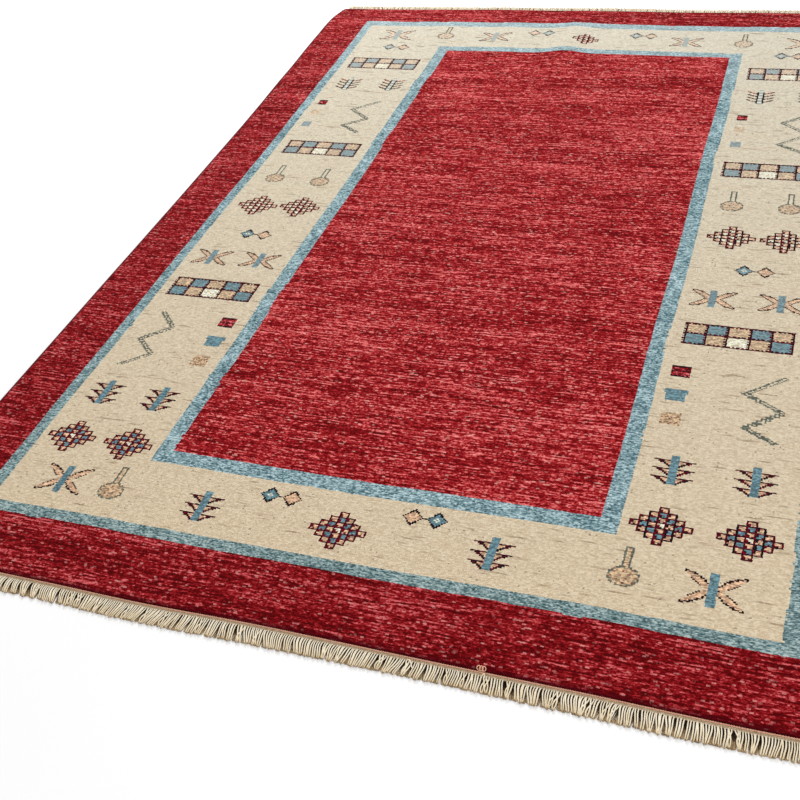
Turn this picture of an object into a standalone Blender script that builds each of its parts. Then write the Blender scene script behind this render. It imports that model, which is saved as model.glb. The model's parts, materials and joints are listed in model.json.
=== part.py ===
# A handwoven pile rug, laid flat on the floor, about 1.7 m wide and 2.4 m long.
# X runs across the rug, Y along its length, Z up, and the floor is at Z = 0.
# Its pieces are the knotted pile cloth, two overcast side cords, and two woven
# end bands that each carry a fringe of warp ends.  Sizes are in metres.
import math
import random

import bmesh
import bpy

PILE_WIDE = 1.700
PILE_LONG = 2.391
PILE_HIGH = 0.0120
CORNER_ROUND = 0.0120
RIM_ROUND = 0.0062
FOOT_ROUND = 0.0018
GAP = 0.00035

CORD_WIDE = 0.0068
CORD_HIGH = 0.0070
CORD_ROUND = 0.0018

BAND_DEEP = 0.0075
BAND_HIGH = 0.0030
STRANDS_PER_END = 150
STRAND_LONG = 0.0310
STRAND_WIDE = 0.0031
STRAND_HIGH = 0.0024
STRAND_STEPS = (0.27, 0.53, 0.78, 1.0)
TIP_SLIM = 0.75
END_TRIM = 0.0040

# The habits of a strand, each drawn between a least and a most: how wide it waves,
# how far it turns on its way out (in radians), and how much its length varies.
STRAND_WAVE = (0.0004, 0.0010)
STRAND_TURN = (5.0, 9.0)
STRAND_VARIES = (-0.0022, 0.0016)

# The slow waves in which the strands' tips lean: (how far, how often, offset).
LEANS = [(0.0046, 33.0, 1.0), (0.0026, 71.0, 2.0)]

# How far each edge strays outward from a straight line: (place along it, out).
LEFT_STRAYS = [
    (-1.212, -0.0040), (-0.882, -0.0045), (-0.482, -0.0060), (0.018, -0.0080),
    (0.418, -0.0070), (0.718, 0.0000), (0.968, 0.0065), (1.078, 0.0090),
    (1.128, 0.0070), (1.168, 0.0000), (1.193, -0.0070),
]
RIGHT_STRAYS = [
    (-1.212, 0.0100), (-0.782, 0.0080), (-0.282, 0.0070), (0.218, 0.0050),
    (0.618, 0.0070), (0.968, 0.0100), (1.198, 0.0090),
]
NEAR_STRAYS = [
    (-0.860, -0.0015), (-0.500, 0.0005), (-0.295, 0.0030), (-0.080, -0.0010),
    (0.240, 0.0005), (0.450, 0.0005), (0.660, 0.0035), (0.870, 0.0015),
]
FAR_STRAYS = [
    (-0.860, -0.0075), (-0.670, -0.0085), (-0.500, -0.0035), (-0.300, 0.0015),
    (-0.160, -0.0005), (0.060, 0.0020), (0.250, -0.0010), (0.450, 0.0045),
    (0.870, 0.0025),
]

# The ripples that run lengthwise near the far end, where the cloth stands off the
# floor: (height, x, half width, begins, full, fades from, ends, share left there).
RIPPLES = [
    (0.0092, -0.052, 0.046, 0.658, 0.898, 1.010, 1.205, 0.10),
    (0.0026, -0.245, 0.055, 0.818, 0.998, 1.018, 1.188, 0.00),
    (0.0022, -0.445, 0.060, 0.858, 1.018, 1.038, 1.188, 0.00),
]
FLAT_BELOW = 0.00012

# Lines of the cloth's grid across and along it, closer together at the ripples.
ACROSS = [
    -0.81, -0.70, -0.60, -0.52, -0.47, -0.42, -0.37, -0.31, -0.26, -0.21,
    -0.165, -0.130, -0.100, -0.075, -0.050, -0.025, 0.000, 0.030, 0.065, 0.13,
    0.23, 0.34, 0.45, 0.56, 0.66, 0.76, 0.82,
]
ALONG = [
    -1.16, -1.06, -0.90, -0.74, -0.56, -0.38, -0.18, 0.02, 0.22, 0.40, 0.54,
    0.64, 0.71, 0.77, 0.83, 0.89, 0.95, 1.01, 1.06, 1.10, 1.133, 1.163,
]


def ease(t):
    t = min(max(t, 0.0), 1.0)
    return t * t * (3.0 - 2.0 * t)


def stray(table, place):
    """Reads a smooth line through the table's places."""
    for (start, out), (end, next_out) in zip(table, table[1:]):
        if place <= end:
            return out + (next_out - out) * ease((place - start) / (end - start))
    return table[-1][1]


def left_edge(y):
    return -0.5 * PILE_WIDE - stray(LEFT_STRAYS, y)


def right_edge(y):
    return 0.5 * PILE_WIDE + stray(RIGHT_STRAYS, y)


def near_edge(x):
    return -0.5 * PILE_LONG - stray(NEAR_STRAYS, x)


def far_edge(x):
    return 0.5 * PILE_LONG + stray(FAR_STRAYS, x)


def ripple(x, y):
    total = 0.0
    for high, middle, half, begins, full, fades, ends, left_over in RIPPLES:
        across = math.exp(-((x - middle) / half) ** 2)
        rise = ease((y - begins) / (full - begins))
        fall = 1.0 - (1.0 - left_over) * ease((y - fades) / (ends - fades))
        total += high * across * rise * fall
    return total if total > FLAT_BELOW else 0.0


def shares(lines, half):
    """Turns grid lines into shares of the way from one edge to the other."""
    return [0.0] + [0.5 + 0.5 * line / half for line in lines] + [1.0]


U_LINES = shares(ACROSS, 0.5 * PILE_WIDE)
V_LINES = shares(ALONG, 0.5 * PILE_LONG)


def grid_point(u, v):
    """The place on the floor of grid line u across and v along the cloth."""
    x, y = 0.0, (v - 0.5) * PILE_LONG
    for _ in range(4):
        x = left_edge(y) + (right_edge(y) - left_edge(y)) * u
        y = near_edge(x) + (far_edge(x) - near_edge(x)) * v
    return x, y


def trimmed(points):
    """Draws both ends of a row of points in by the trim."""
    row = list(points)
    for end, beside in ((0, 1), (-1, -2)):
        (x, y), (bx, by) = row[end], row[beside]
        share = END_TRIM / math.hypot(bx - x, by - y)
        row[end] = (x + (bx - x) * share, y + (by - y) * share)
    return row


def wool(name, colour, roughness):
    material = bpy.data.materials.new(name)
    material.use_nodes = True
    shader = material.node_tree.nodes["Principled BSDF"]
    shader.inputs["Base Color"].default_value = (*colour, 1.0)
    shader.inputs["Roughness"].default_value = roughness
    shader.inputs["Metallic"].default_value = 0.0
    return material


def finish(bm, name, material):
    """Turns the modelled piece into a named object with its material."""
    bmesh.ops.recalc_face_normals(bm, faces=bm.faces)
    mesh = bpy.data.meshes.new(name)
    bm.to_mesh(mesh)
    bm.free()
    mesh.materials.append(material)
    piece = bpy.data.objects.new(name, mesh)
    bpy.context.scene.collection.objects.link(piece)
    return piece


def rim(bm, at_top):
    """The edges where the walls meet the top, or the underside."""
    found = []
    for edge in bm.edges:
        walls = [abs(face.normal.z) < 0.5 for face in edge.link_faces]
        middle = 0.5 * (edge.verts[0].co.z + edge.verts[1].co.z)
        if walls.count(True) == 1 and (middle > 0.5 * PILE_HIGH) == at_top:
            found.append(edge)
    return found


# The pile cloth: wool knots on a woven ground.  The grid is drawn on the floor,
# raised into a slab, rounded at its corners and rims, then lifted at the ripples.
def make_pile(material):
    bm = bmesh.new()
    grid = [[bm.verts.new((*grid_point(u, v), 0.0)) for v in V_LINES] for u in U_LINES]
    for column, beside in zip(grid, grid[1:]):
        for j in range(len(V_LINES) - 1):
            bm.faces.new((column[j], beside[j], beside[j + 1], column[j + 1]))
    raised = bmesh.ops.extrude_face_region(bm, geom=list(bm.faces))["geom"]
    for item in raised:
        if isinstance(item, bmesh.types.BMVert):
            item.co.z = PILE_HIGH
    bmesh.ops.recalc_face_normals(bm, faces=bm.faces)
    corners = []
    for edge in bm.edges:
        upright = abs(edge.verts[0].co.z - edge.verts[1].co.z) > 0.5 * PILE_HIGH
        if upright and edge.calc_face_angle() > 1.0:
            corners.append(edge)
    bmesh.ops.bevel(
        bm, geom=corners, offset=CORNER_ROUND, segments=3, profile=0.5, affect="EDGES"
    )
    bm.normal_update()
    bmesh.ops.bevel(
        bm, geom=rim(bm, True), offset=RIM_ROUND, segments=3, profile=0.5, affect="EDGES"
    )
    bm.normal_update()
    bmesh.ops.bevel(
        bm, geom=rim(bm, False), offset=FOOT_ROUND, segments=1, profile=0.5, affect="EDGES"
    )
    for vert in bm.verts:
        vert.co.z += ripple(vert.co.x, vert.co.y)
    return finish(bm, "pile_carpet", material)


def pushed_out(bm, caps, keep_first=False):
    """Extrudes the numbered cap faces and returns the new caps in order."""
    number = bm.faces.layers.int["number"]
    made = bmesh.ops.extrude_face_region(bm, geom=caps)["geom"]
    if not keep_first:
        bmesh.ops.delete(bm, geom=caps, context="FACES_ONLY")
    fresh = [item for item in made if isinstance(item, bmesh.types.BMFace)]
    return sorted(fresh, key=lambda face: face[number])


# A side cord: the outer warps of a long side, wrapped round with wool into a firm
# edge with eased corners that lies on the floor beside the pile.
def make_cord(name, outward, material):
    low, high = CORD_ROUND, CORD_HIGH - CORD_ROUND
    inner, outer = CORD_ROUND, CORD_WIDE - CORD_ROUND
    section = [
        (inner, 0.0), (outer, 0.0), (CORD_WIDE, low), (CORD_WIDE, high),
        (outer, CORD_HIGH), (inner, CORD_HIGH), (0.0, high), (0.0, low),
    ]
    side = trimmed(grid_point(0.0 if outward < 0 else 1.0, v) for v in V_LINES)
    bm = bmesh.new()
    bm.faces.layers.int.new("number")
    corner = bm.verts.layers.int.new("corner")
    first = [bm.verts.new((0.0, 0.0, 0.0)) for _ in section]
    for index, vert in enumerate(first):
        vert[corner] = index
    caps = [bm.faces.new(first)]
    for step, (x, y) in enumerate(side):
        if step:
            caps = pushed_out(bm, caps, keep_first=step == 1)
        for vert in caps[0].verts:
            reach, height = section[vert[corner]]
            vert.co = (x + outward * (GAP + reach), y, height)
    return finish(bm, name, material)


def lean(x, seed):
    """How far a strand's tip leans sideways: neighbours lean almost alike."""
    return sum(far * math.sin(often * x + offset * seed) for far, often, offset in LEANS)


# An end: a narrow flat band of plain weave beyond the pile, and a fringe of wavy
# warp ends that lie on the floor, apart from each other but for their roots.
def make_fringe(name, outward, seed, material):
    rng = random.Random(seed)
    pile_end = trimmed(grid_point(u, 0.0 if outward < 0 else 1.0) for u in U_LINES)
    west, east = pile_end[0][0], pile_end[-1][0]

    def end_line(x):
        for (ax, ay), (bx, by) in zip(pile_end, pile_end[1:]):
            if x <= bx:
                return ay + (by - ay) * (x - ax) / (bx - ax)
        return pile_end[-1][1]

    bm = bmesh.new()
    number = bm.faces.layers.int.new("number")
    corner = bm.verts.layers.int.new("corner")

    def vert_at(x, beyond, z):
        return bm.verts.new((x, end_line(x) + outward * (GAP + beyond), z))

    pitch = (east - west - 2.0 * STRAND_WIDE) / (STRANDS_PER_END - 1)
    roots = [west + STRAND_WIDE + pitch * n for n in range(STRANDS_PER_END)]
    half = 0.5 * STRAND_WIDE
    caps, uppers, lowers = [], [], []
    for n, x in enumerate(roots):
        base = vert_at(x - half, BAND_DEEP, 0.0)
        other = vert_at(x + half, BAND_DEEP, 0.0)
        crest = vert_at(x, BAND_DEEP, STRAND_HIGH)
        for index, vert in enumerate((base, other, crest)):
            vert[corner] = index
        cap = bm.faces.new((base, other, crest))
        cap[number] = n
        caps.append(cap)
        uppers.append(vert_at(x, BAND_DEEP, BAND_HIGH))
        lowers.append((base, other, crest))

    # the ends of the band, and its front face in the spaces between the roots
    ends = []
    for x in (west, east):
        front = [vert_at(x, BAND_DEEP, z) for z in (0.0, BAND_HIGH)]
        back = [vert_at(x, 0.0, z) for z in (BAND_HIGH, 0.0)]
        bm.faces.new(front + back)
        ends.append((front, back))
    base, _, crest = lowers[0]
    bm.faces.new((ends[0][0][0], base, crest, uppers[0], ends[0][0][1]))
    for (_, left, top), (right, _, next_top), upper, next_upper in zip(
        lowers, lowers[1:], uppers, uppers[1:]
    ):
        bm.faces.new((left, right, next_top, next_upper, upper, top))
    _, other, crest = lowers[-1]
    bm.faces.new((other, ends[1][0][0], ends[1][0][1], uppers[-1], crest))

    # the back, top and underside, one stretch for each straight run of the end
    top_row = [ends[0][0][1], *uppers, ends[1][0][1]]
    low_row = [ends[0][0][0]]
    for base, other, _ in lowers:
        low_row += [base, other]
    low_row.append(ends[1][0][0])
    stops = [x for x, _ in pile_end]
    top_back = [ends[0][1][0]] + [vert_at(x, 0.0, BAND_HIGH) for x in stops[1:-1]]
    low_back = [ends[0][1][1]] + [vert_at(x, 0.0, 0.0) for x in stops[1:-1]]
    top_back.append(ends[1][1][0])
    low_back.append(ends[1][1][1])
    for n in range(len(stops) - 1):
        bm.faces.new((top_back[n], top_back[n + 1], low_back[n + 1], low_back[n]))
    bm.faces.new(top_row + top_back[::-1])
    bm.faces.new(low_row + low_back[::-1])

    # the strands, pushed out from their roots one step at a time
    habits = []
    for x in roots:
        wave = rng.uniform(*STRAND_WAVE)
        phase = rng.uniform(0.0, math.tau)
        turn = rng.uniform(*STRAND_TURN)
        long = STRAND_LONG + rng.uniform(*STRAND_VARIES)
        habits.append((x, wave, phase, turn, long))
    for step in STRAND_STEPS:
        caps = pushed_out(bm, caps)
        slim = TIP_SLIM if step == STRAND_STEPS[-1] else 1.0
        for cap, (x, wave, phase, turn, long) in zip(caps, habits):
            sway = lean(x, seed) * step * (0.35 + 0.65 * step)
            sway += wave * (math.sin(phase + turn * step) - math.sin(phase))
            y = end_line(x) + outward * (GAP + BAND_DEEP + long * step)
            spots = ((-half * slim, 0.0), (half * slim, 0.0), (0.0, STRAND_HIGH * slim))
            for vert in cap.verts:
                aside, height = spots[vert[corner]]
                vert.co = (x + sway + aside, y, height)
    return finish(bm, name, material)


for old in list(bpy.data.objects):
    bpy.data.objects.remove(old, do_unlink=True)

make_pile(wool("pile_wool", (0.39, 0.045, 0.047), 0.95))
make_cord("selvedge_left", -1, wool("selvedge_wool_left", (0.20, 0.02, 0.022), 0.9))
make_cord("selvedge_right", 1, wool("selvedge_wool_right", (0.20, 0.02, 0.022), 0.9))
make_fringe("fringe_near", -1, 3, wool("warp_cotton_near", (0.60, 0.50, 0.35), 0.9))
make_fringe("fringe_far", 1, 8, wool("warp_cotton_far", (0.60, 0.50, 0.35), 0.9))
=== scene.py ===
import json
import math
import random

import bmesh
import bpy
import numpy as np
from mathutils import Matrix, Vector

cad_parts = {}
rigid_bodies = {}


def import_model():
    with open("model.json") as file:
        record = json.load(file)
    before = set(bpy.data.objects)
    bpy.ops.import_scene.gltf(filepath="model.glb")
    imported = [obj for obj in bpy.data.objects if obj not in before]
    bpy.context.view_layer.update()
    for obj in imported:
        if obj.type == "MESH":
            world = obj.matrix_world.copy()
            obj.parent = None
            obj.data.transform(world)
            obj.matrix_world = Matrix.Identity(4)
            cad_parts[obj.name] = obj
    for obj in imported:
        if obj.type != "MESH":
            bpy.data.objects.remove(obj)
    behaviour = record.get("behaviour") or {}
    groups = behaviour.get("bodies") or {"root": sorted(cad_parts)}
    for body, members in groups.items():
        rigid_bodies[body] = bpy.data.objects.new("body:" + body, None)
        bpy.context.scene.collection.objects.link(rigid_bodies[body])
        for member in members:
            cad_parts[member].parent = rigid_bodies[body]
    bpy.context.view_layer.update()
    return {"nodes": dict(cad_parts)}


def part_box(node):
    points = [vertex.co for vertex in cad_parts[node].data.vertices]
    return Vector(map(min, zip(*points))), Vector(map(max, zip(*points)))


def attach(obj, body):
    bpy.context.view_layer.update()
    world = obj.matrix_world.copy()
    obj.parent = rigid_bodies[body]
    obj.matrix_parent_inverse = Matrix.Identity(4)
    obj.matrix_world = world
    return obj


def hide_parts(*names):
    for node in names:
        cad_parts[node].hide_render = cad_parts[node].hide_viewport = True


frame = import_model()


# The pile cloth: about 470 by 790 hand-tied wool knots on a woven ground, clipped
# level and laid on the floor.  Its four edges are read from the plain solid, so that
# it keeps the uneven outline of a handwoven cloth.
PILE_HIGH = 0.0120
RIM_ROUND = 0.0062
FOOT_ROUND = 0.0018
CORNER_ROUND = 0.0120
# The ripples near the far end: (height, x, half width, begins, full, fades, ends,
# share left at the end), the same as in the solid.
RIPPLES = [
    (0.0092, -0.052, 0.046, 0.658, 0.898, 1.010, 1.205, 0.10),
    (0.0026, -0.245, 0.055, 0.818, 0.998, 1.018, 1.188, 0.00),
    (0.0022, -0.445, 0.060, 0.858, 1.018, 1.038, 1.188, 0.00),
]


def ease(t):
    t = np.clip(t, 0.0, 1.0)
    return t * t * (3.0 - 2.0 * t)


def ripple(x, y):
    total = np.zeros_like(x)
    for high, middle, half, begins, full, fades, ends, left_over in RIPPLES:
        rise = ease((y - begins) / (full - begins))
        fall = 1.0 - (1.0 - left_over) * ease((y - fades) / (ends - fades))
        total += high * np.exp(-((x - middle) / half) ** 2) * rise * fall
    return total


solid = np.array([v.co for v in frame["nodes"]["pile_carpet"].data.vertices])
WEST, SOUTH, _ = solid.min(axis=0)
EAST, NORTH, _ = solid.max(axis=0)
level = solid[:, 2] - ripple(solid[:, 0], solid[:, 1])
# the points of its upright walls, between the foot and the rounded rim
walls = solid[(level > 0.8 * FOOT_ROUND) & (level < 1.25 * RIM_ROUND)]
clear_x = np.abs(walls[:, 0]) < 0.5 * (EAST - WEST) - 2.0 * CORNER_ROUND
clear_y = np.abs(walls[:, 1]) < 0.5 * (NORTH - SOUTH) - 1.7 * CORNER_ROUND


def edge_line(chosen, along, away):
    row = walls[chosen]
    row = row[np.argsort(row[:, along])]
    return lambda place: np.interp(place, row[:, along], row[:, away])


left_edge = edge_line(clear_y & (walls[:, 0] < 0.9 * WEST), 1, 0)
right_edge = edge_line(clear_y & (walls[:, 0] > 0.9 * EAST), 1, 0)
near_edge = edge_line(clear_x & (walls[:, 1] < 0.9 * SOUTH), 0, 1)
far_edge = edge_line(clear_x & (walls[:, 1] > 0.9 * NORTH), 0, 1)
LEFT = float(np.mean(left_edge(np.linspace(-1.1, 0.6, 200))))
RIGHT = float(np.mean(right_edge(np.linspace(-1.1, 1.1, 200))))
NEAR = float(np.mean(near_edge(np.linspace(-0.8, 0.8, 200))))
FAR = float(np.mean(far_edge(np.linspace(-0.5, 0.8, 200))))

# how far in from an edge its strays are felt, and the slow wander of the inner lines
STRAY_FADES = 0.42
WANDER_ACROSS = 0.0026
WANDER_ALONG = 0.0018
WANDER_BEGINS = 0.15


def lay(s, t):
    """Where the point s across and t along the straight cloth lies on the floor:
    its corners are rounded, and it strays with the uneven edges."""
    across = np.minimum(s - LEFT, RIGHT - s)
    along = np.minimum(t - NEAR, FAR - t)
    qx = np.maximum(CORNER_ROUND - across, 0.0)
    qy = np.maximum(CORNER_ROUND - along, 0.0)
    size = np.hypot(qx, qy)
    shrink = np.where((qx > 0) & (qy > 0), np.maximum(qx, qy) / np.maximum(size, 1e-9), 1.0)
    s = s + np.sign(0.5 * (LEFT + RIGHT) - s) * qx * (1.0 - shrink)
    t = t + np.sign(-t) * qy * (1.0 - shrink)

    def near_to(distance):
        return np.clip(1.0 - distance / STRAY_FADES, 0.0, 1.0) ** 1.3

    x, y = s, t
    for _ in range(3):
        x, y = (
            s + (left_edge(y) - LEFT) * near_to(s - LEFT)
            + (right_edge(y) - RIGHT) * near_to(RIGHT - s),
            t + (near_edge(x) - NEAR) * near_to(t - NEAR)
            + (far_edge(x) - FAR) * near_to(FAR - t),
        )
    inside = np.clip(across / WANDER_BEGINS, 0.0, 1.0) * np.clip(along / WANDER_BEGINS, 0.0, 1.0)
    x = x + WANDER_ACROSS * inside * np.sin(6.3 * t + 2.0 * s + 1.0) * np.cos(3.1 * t)
    y = y + WANDER_ALONG * inside * np.sin(7.9 * s + 1.4 * t)
    return x, y


# its motifs are charted knot by knot, as a weaver does: a shape's numbers are knots,
# counted from its middle, and a remainder picks the odd knots that stray
COLUMNS = 472
ROWS = 792
BLOCK = 8
UNEVEN = 0.00045
UNEVEN_SEED = 5
KNOT_WIDE = (RIGHT - LEFT - 2.0 * RIM_ROUND) / COLUMNS
KNOT_LONG = (FAR - NEAR - 2.0 * RIM_ROUND) / ROWS
DARK, BLUE, SALMON, TAN, WHITE, RED, SAGE, WINE, BROWN = range(1, 10)
chart = np.zeros((COLUMNS, ROWS), dtype=int)


def knot_at(x, y):
    return int((x - LEFT - RIM_ROUND) / KNOT_WIDE), int((y - NEAR - RIM_ROUND) / KNOT_LONG)


def tie(x, y, shape, half_wide, half_long):
    """Ties the knots of a shape: shape(a, b) names the yarn a knots to the right
    of and b knots beyond its middle, or None."""
    i, j = knot_at(x, y)
    for a in range(-half_wide, half_wide + 1):
        for b in range(-half_long, half_long + 1):
            yarn = shape(a, b)
            if yarn and 0 <= i + a < COLUMNS and 0 <= j + b < ROWS:
                chart[i + a, j + b] = yarn


CELL_PITCH = 4
CELL_HALF = 2


def stepped_diamond(reach, dark_in, second_ring):
    """Rows of small outlined cells, one cell wide at the tips, 2 * reach + 1 in the
    middle row.  One outline knot in dark_in is tied in the darkest yarn, and the
    cells two away from the middle one in that of second_ring."""
    def shape(a, b):
        cells = []
        for ca in {math.floor(a / CELL_PITCH), math.ceil(a / CELL_PITCH)}:
            for cb in {math.floor(b / CELL_PITCH), math.ceil(b / CELL_PITCH)}:
                off = max(abs(a - CELL_PITCH * ca), abs(b - CELL_PITCH * cb))
                if abs(ca) + abs(cb) <= reach and off <= CELL_HALF:
                    cells.append((ca, cb))
        for ca, cb in cells:
            wide = (ca * 5 + b * 3) % 4 < 2
            tall = (cb * 3 + a * 5) % 4 == 0
            in_row = -CELL_HALF + wide < a - CELL_PITCH * ca < CELL_HALF
            if in_row and -CELL_HALF + tall < b - CELL_PITCH * cb < CELL_HALF:
                ring = abs(ca) + abs(cb)
                return WHITE if ring == 0 else second_ring if ring == 2 else SALMON
        if not cells:
            return None
        return WINE if (a * a + 3 * b + a * b) % dark_in else DARK
    return shape


def crossed_leaves(reach, rise):
    """A blue upright with four slanting leaves that reach for the corners."""
    def shape(a, b):
        if -2 <= a <= 1 and abs(b) <= rise:
            return BLUE
        along = (abs(a) - 1) / (reach - 1)
        if abs(a) < 2 or along > 1.0:
            return None
        middle = (rise - 0.5) * along ** 0.85
        thick = 2.6 * math.sin(math.pi * min(1.0, 0.18 + 0.76 * along)) + 0.5
        off = abs(abs(b) - middle)
        if off > thick:
            return None
        dashed = abs(b) < middle and (a + b) % 2
        return DARK if along > 0.93 or off > thick - 1.15 and not dashed else SALMON
    return shape


def small_diamonds(first, second):
    """Two little outlined diamonds side by side."""
    def shape(a, b):
        for middle, yarn in ((-6, first), (6, second)):
            off = abs(a - middle) / 5.4 + abs(b) / 6.0
            if off <= 0.82:
                return WHITE if yarn == BLUE and off < 0.5 and (a + b) % 2 else yarn
            if off <= 1.04:
                return DARK
        return DARK if abs(a) <= 1 and b == 0 else None
    return shape


CELL_COLOURS = [[BLUE, TAN, WHITE, TAN, BLUE], [TAN, BLUE, TAN, BLUE, TAN]]
UPRIGHTS = (-28, -17, -6, 6, 17, 28)


def checker_band(a, b):
    """Two rows of five large cells, parted by dark upright lines."""
    if abs(b) > 11 or a < UPRIGHTS[0] - 1 or a > UPRIGHTS[-1]:
        return None
    if a in UPRIGHTS or (a + 1 in UPRIGHTS and (a * 5 + b * 3) % 5 < 3):
        return WINE if (a + 2 * b) % 3 == 0 else DARK
    if b in (-11, 0, 11) or (b in (-10, 1, 10) and (a * 7 + b) % 5 < 3):
        return DARK if (a * 3 + b) % 7 < 4 else WINE
    cell = sum(a > line for line in UPRIGHTS) - 1
    return CELL_COLOURS[int(b > 0)][cell] if 0 <= cell < len(UPRIGHTS) - 1 else None


def round_on_stem(filled_stem):
    """A round head below a narrow upright stem, drawn in one outline."""
    def shape(a, b):
        head = math.hypot((a + 0.5) / 6.9, (b + 6.5) / 6.9)
        if head <= 0.84:
            return BROWN if (a * 7 + b * 5) % 11 == 0 else TAN
        if head <= 1.06 and not (-2 < a < 1 and b > 0):
            return TAN if (a * 3 + b) % 4 == 0 else SAGE
        if -1 <= b <= 14 and a in (-2, 1) or b == 14 and -2 <= a <= 1:
            return SAGE
        return TAN if filled_stem and 0 <= b < 14 and -2 < a < 1 else None
    return shape


def tree(a, b):
    """A blue trunk with three pairs of hanging triangular leaves."""
    if -2 <= a <= 1 and -11 <= b <= 12:
        return BLUE
    out = abs(a + 0.5)
    for top in (8, 1, -6):
        drop = top - b
        reach = 9.5 - drop * 1.35
        if 0 <= drop <= 5 and 1.5 < out <= reach:
            edge = drop == 0 or out > reach - 2.8
            return SALMON if not edge else WINE if (a + 2 * b) % 3 == 0 else DARK
    return None


def comb(a, b):
    """A pale trunk between dark lines, with four pairs of rising branches."""
    if abs(a) <= 1:
        if not -12 <= b <= 13:
            return None
        return BLUE if b % 5 > 1 else WHITE
    if abs(a) == 2 and -11 <= b <= 9:
        return DARK
    for foot in (-9, -4, 1, 6):
        rise = b - foot - (abs(a) - 2) * 0.55
        if 2 < abs(a) <= 9:
            if abs(rise) <= 0.75:
                return DARK if foot < 2 else WINE
            if 0.75 < rise <= 1.8 and abs(a) < 9:
                return SALMON
    return None


def block(yarn, flare=0):
    """A plain block, a little wider at its far side."""
    def shape(a, b):
        if abs(b) > 5 or not -4 - (flare and b > 1) <= a <= 5 + (flare and b > 1):
            return None
        if yarn == TAN:
            return BROWN if (a * a + 3 * b + a * b) % 5 == 0 else TAN
        if yarn == RED:
            return DARK if abs(b) == 5 or (a * a + 3 * b + a * b) % 4 == 0 else RED
        return yarn
    return shape


def small_block(yarn):
    """A block of half that size, closed by dark rows where it is red."""
    def shape(a, b):
        if abs(a) > 3 or abs(b) > 4:
            return None
        return DARK if yarn == RED and abs(b) > 2 else yarn
    return shape


def zigzag(points):
    """A double line, broken here and there on the strokes to the left."""
    for (ax, ay), (bx, by) in zip(points, points[1:]):
        (ia, ja), (ib, jb) = knot_at(ax, ay), knot_at(bx, by)
        steps = 2 * max(abs(ib - ia), abs(jb - ja))
        for n in range(steps + 1):
            i = round(ia + (ib - ia) * n / steps)
            j = round(ja + (jb - ja) * n / steps)
            broken = bx < ax and (n // 2) % 5 == 4
            side = 1 if bx > ax else -1
            chart[i, j] = SAGE
            if n % 3 == 0:
                chart[i + 1, j] = SAGE
            if not broken:
                chart[i + 2, j + side] = SAGE


# where the motifs stand, by the middle of each, in metres: (x, y) and what sets it
# apart from others of its shape
for x, y in [
    (-0.616, -0.003), (-0.508, 0.002), (-0.630, -0.861), (-0.504, -0.861), (-0.019, -0.980),
    (0.511, 0.010), (0.622, 0.010), (0.504, -0.858), (0.643, -0.858),
]:
    second_ring = BLUE if y < -0.5 else WHITE
    tie(x, y, stepped_diamond(3, 2 if x < 0.0 else 3, second_ring), 15, 15)
tie(-0.011, 0.982, stepped_diamond(2, 2, SALMON), 11, 11)
for x, y in [(-0.580, -0.973), (0.604, -0.973), (-0.588, 0.996), (0.590, 0.992)]:
    tie(x, y, crossed_leaves(13, 11), 14, 12)
for x, y in [
    (-0.627, -0.237), (-0.505, -0.233), (0.504, -0.218), (0.634, -0.216),
    (-0.280, 0.994), (0.277, 0.987),
]:
    tie(x, y, crossed_leaves(12, 9), 13, 10)
for x, y, first, second in [
    (-0.569, 0.911, BLUE, SALMON), (-0.564, -0.131, BLUE, SALMON), (0.569, -0.108, BLUE, SALMON),
    (0.561, 0.912, BLUE, SALMON), (-0.150, -0.926, BLUE, SALMON), (0.118, -0.923, SALMON, BLUE),
    (-0.150, 1.028, SALMON, BLUE), (0.153, 1.021, BLUE, SALMON),
]:
    tie(x, y, small_diamonds(first, second), 12, 7)
for x, y in [
    (-0.566, 0.796), (-0.565, 0.287), (-0.566, -0.355), (0.566, 0.802), (0.562, 0.300),
    (0.567, -0.338),
]:
    tie(x, y, checker_band, 29, 13)
for x, y, filled in [
    (-0.627, 0.145, False), (-0.502, 0.142, False), (0.499, 0.159, False), (0.624, 0.162, False),
    (-0.470, -0.962, True), (0.465, -0.956, True), (-0.436, 1.013, True), (0.434, 1.004, True),
]:
    tie(x, y, round_on_stem(filled), 8, 15)
for x, y in [
    (-0.630, -0.730), (-0.504, -0.730), (0.504, -0.726), (0.638, -0.726), (-0.280, -0.982),
    (0.252, -0.978),
]:
    tie(x, y, tree, 10, 12)
for x, y in [(-0.629, 0.656), (-0.501, 0.662), (0.505, 0.669), (0.632, 0.668)]:
    tie(x, y, comb, 10, 14)
for x, y, yarn, flare in [
    (-0.483, -0.467, RED, 0), (-0.483, -0.534, BLUE, 1), (-0.480, -0.600, TAN, 0),
    (0.475, -0.459, RED, 0), (0.475, -0.527, BLUE, 1), (0.475, -0.592, TAN, 0),
]:
    tie(x, y, block(yarn, flare), 7, 6)
for x, y, yarn in [
    (-0.660, 0.541, RED), (-0.660, 0.484, TAN), (-0.660, 0.413, BLUE),
    (0.472, 0.555, RED), (0.474, 0.494, TAN), (0.472, 0.419, BLUE),
]:
    tie(x, y, small_block(yarn), 4, 5)
zigzag([(-0.499, 0.560), (-0.564, 0.507), (-0.502, 0.460), (-0.561, 0.417), (-0.502, 0.382)])
zigzag([(-0.648, -0.454), (-0.600, -0.503), (-0.655, -0.552), (-0.603, -0.595), (-0.655, -0.638)])
zigzag([(0.630, 0.585), (0.566, 0.536), (0.632, 0.484), (0.566, 0.430), (0.630, 0.390)])
zigzag([(0.658, -0.443), (0.591, -0.501), (0.658, -0.543), (0.598, -0.594), (0.656, -0.625)])

# the pile's face: knots that share a yarn are joined into one face, down to single knots along a
# motif's stepped edge; the outermost knots stay single, to meet the rounded rim
used = np.zeros((COLUMNS + 1, ROWS + 1), dtype=bool)
leaves = []


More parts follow.
